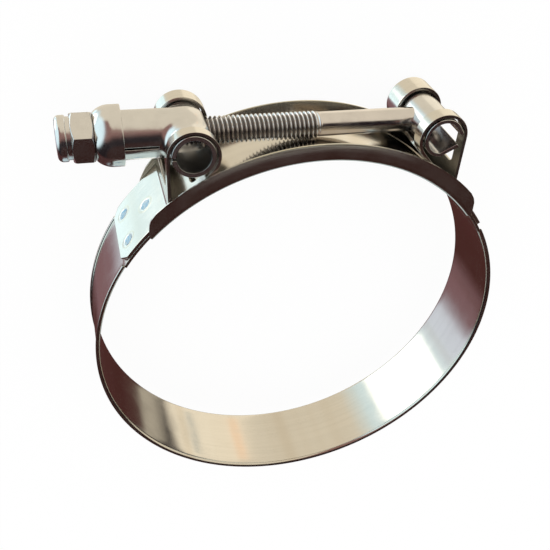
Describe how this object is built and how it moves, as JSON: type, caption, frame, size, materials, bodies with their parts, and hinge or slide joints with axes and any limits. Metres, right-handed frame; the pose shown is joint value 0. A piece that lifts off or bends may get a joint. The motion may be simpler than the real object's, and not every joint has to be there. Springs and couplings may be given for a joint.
{
  "type": "t-bolt clamp",
  "caption": "Spring-steel hose clamp band with a bridge, closed by a T-headed bolt that runs through a rolled tee to a cap and locking nut.",
  "frame": {"origin": "centre of the bore, half way across the band", "axes": "+Z along the bore towards the front edge, +Y from the bore to the bolt, +X towards the bolt's T head"},
  "size_m": [0.1071, 0.1136, 0.022],
  "materials": {
    "band_steel": "polished stainless sheet",
    "fitting_steel": "bright polished steel",
    "bolt_steel": "bright rolled steel",
    "nylon": "off-white nylon"
  },
  "bodies": {
    "band": {"band": "band_steel"},
    "bridge": {"bridge": "band_steel"},
    "tee": {"tee": "fitting_steel", "cap": "fitting_steel"},
    "nut": {"nut": "fitting_steel", "nut_insert": "nylon"},
    "t_bolt": {"t_bolt": "bolt_steel", "t_bolt_barrel": "fitting_steel"}
  },
  "joints": [
    {"name": "band_close", "type": "hinge", "parent": "band", "child": "bridge", "pos_m": [0, -0.0518, 0], "axis": [0, 0, 1], "range_deg": [0, 13.3], "deforming": ["band", "bridge"]},
    {"name": "nut_turn", "type": "hinge", "parent": "tee", "child": "nut", "pos_m": [-0.0505, 0.05448, 0], "axis": [1, 0, 0], "range_deg": [0, 9000]},
    {"name": "tee_pivot", "type": "hinge", "parent": "band", "child": "tee", "pos_m": [-0.028, 0.05448, 0], "axis": [0, 0, 1], "range_deg": [0, 6.65]},
    {"name": "t_head_pivot", "type": "hinge", "parent": "bridge", "child": "t_bolt", "pos_m": [0.028, 0.05448, 0], "axis": [0, 0, 1], "range_deg": [-6.65, 0]}
  ],
  "couplings": [
    {"joint": "nut_turn", "follows": "band_close", "ratio": 676.69},
    {"joint": "tee_pivot", "follows": "band_close", "ratio": 0.5},
    {"joint": "t_head_pivot", "follows": "band_close", "ratio": -0.5}
  ]
}
